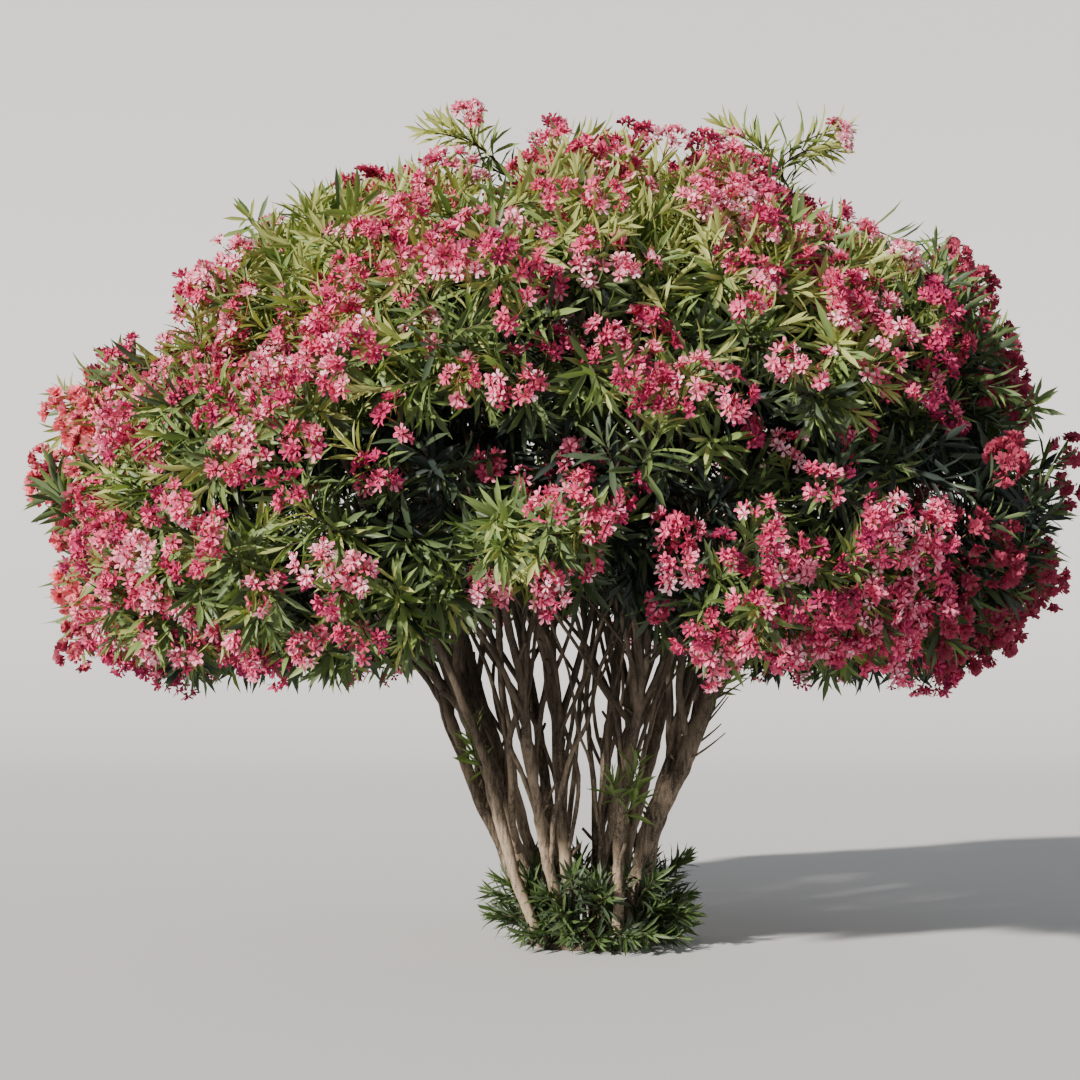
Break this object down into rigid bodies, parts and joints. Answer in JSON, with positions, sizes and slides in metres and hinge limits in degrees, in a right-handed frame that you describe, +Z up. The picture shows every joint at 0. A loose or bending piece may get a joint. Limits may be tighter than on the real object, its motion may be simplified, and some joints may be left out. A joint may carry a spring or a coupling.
{
  "type": "oleander shrub",
  "caption": "Multi-stemmed oleander rooted in the ground, with leaning bare stems, a wide domed crown of narrow leaves and pink flower trusses, and leafy shoots round its foot.",
  "frame": {"origin": "centre of the flat cut under the root crown, at ground level", "axes": "+Z up out of the ground, -Y towards the side that faces the picture's viewer, +X to the viewer's right"},
  "size_m": [4.2199, 3.8603, 3.4284],
  "materials": {
    "bark": "rough grey-brown bark with pale corky spots",
    "young_bark": "smoother olive-brown young bark",
    "foliage": "leathery dark green leaves with rose-pink blossom"
  },
  "bodies": {
    "root": {"root_crown": "bark", "stem_outer_1": "bark", "stem_outer_2": "bark", "stem_outer_3": "bark", "stem_outer_4": "bark", "stem_outer_5": "bark", "stem_outer_6": "bark", "stem_outer_7": "bark", "stem_outer_8": "bark", "stem_inner_1": "bark", "stem_inner_2": "bark", "stem_inner_3": "bark", "stem_inner_4": "bark", "stem_inner_5": "bark", "stem_inner_6": "bark", "bough_skirt_1": "young_bark", "bough_skirt_2": "young_bark", "bough_skirt_3": "young_bark", "bough_skirt_4": "young_bark", "bough_skirt_5": "young_bark", "bough_skirt_6": "young_bark", "bough_skirt_7": "young_bark", "bough_skirt_8": "young_bark", "bough_skirt_9": "young_bark", "bough_top": "young_bark", "foliage_skirt_1": "foliage", "foliage_skirt_2": "foliage", "foliage_skirt_3": "foliage", "foliage_skirt_4": "foliage", "foliage_skirt_5": "foliage", "foliage_skirt_6": "foliage", "foliage_skirt_7": "foliage", "foliage_skirt_8": "foliage", "foliage_skirt_9": "foliage", "foliage_shoulder_1": "foliage", "foliage_shoulder_2": "foliage", "foliage_shoulder_3": "foliage", "foliage_shoulder_4": "foliage", "foliage_shoulder_5": "foliage", "foliage_shoulder_6": "foliage", "foliage_shoulder_7": "foliage", "foliage_shoulder_8": "foliage", "foliage_upper_1": "foliage", "foliage_upper_2": "foliage", "foliage_upper_3": "foliage", "foliage_upper_4": "foliage", "foliage_upper_5": "foliage", "foliage_upper_6": "foliage", "foliage_top": "foliage", "basal_shoots_1": "foliage", "basal_shoots_2": "foliage", "basal_shoots_3": "foliage", "basal_shoots_4": "foliage", "basal_shoots_5": "foliage"}
  },
  "joints": []
}
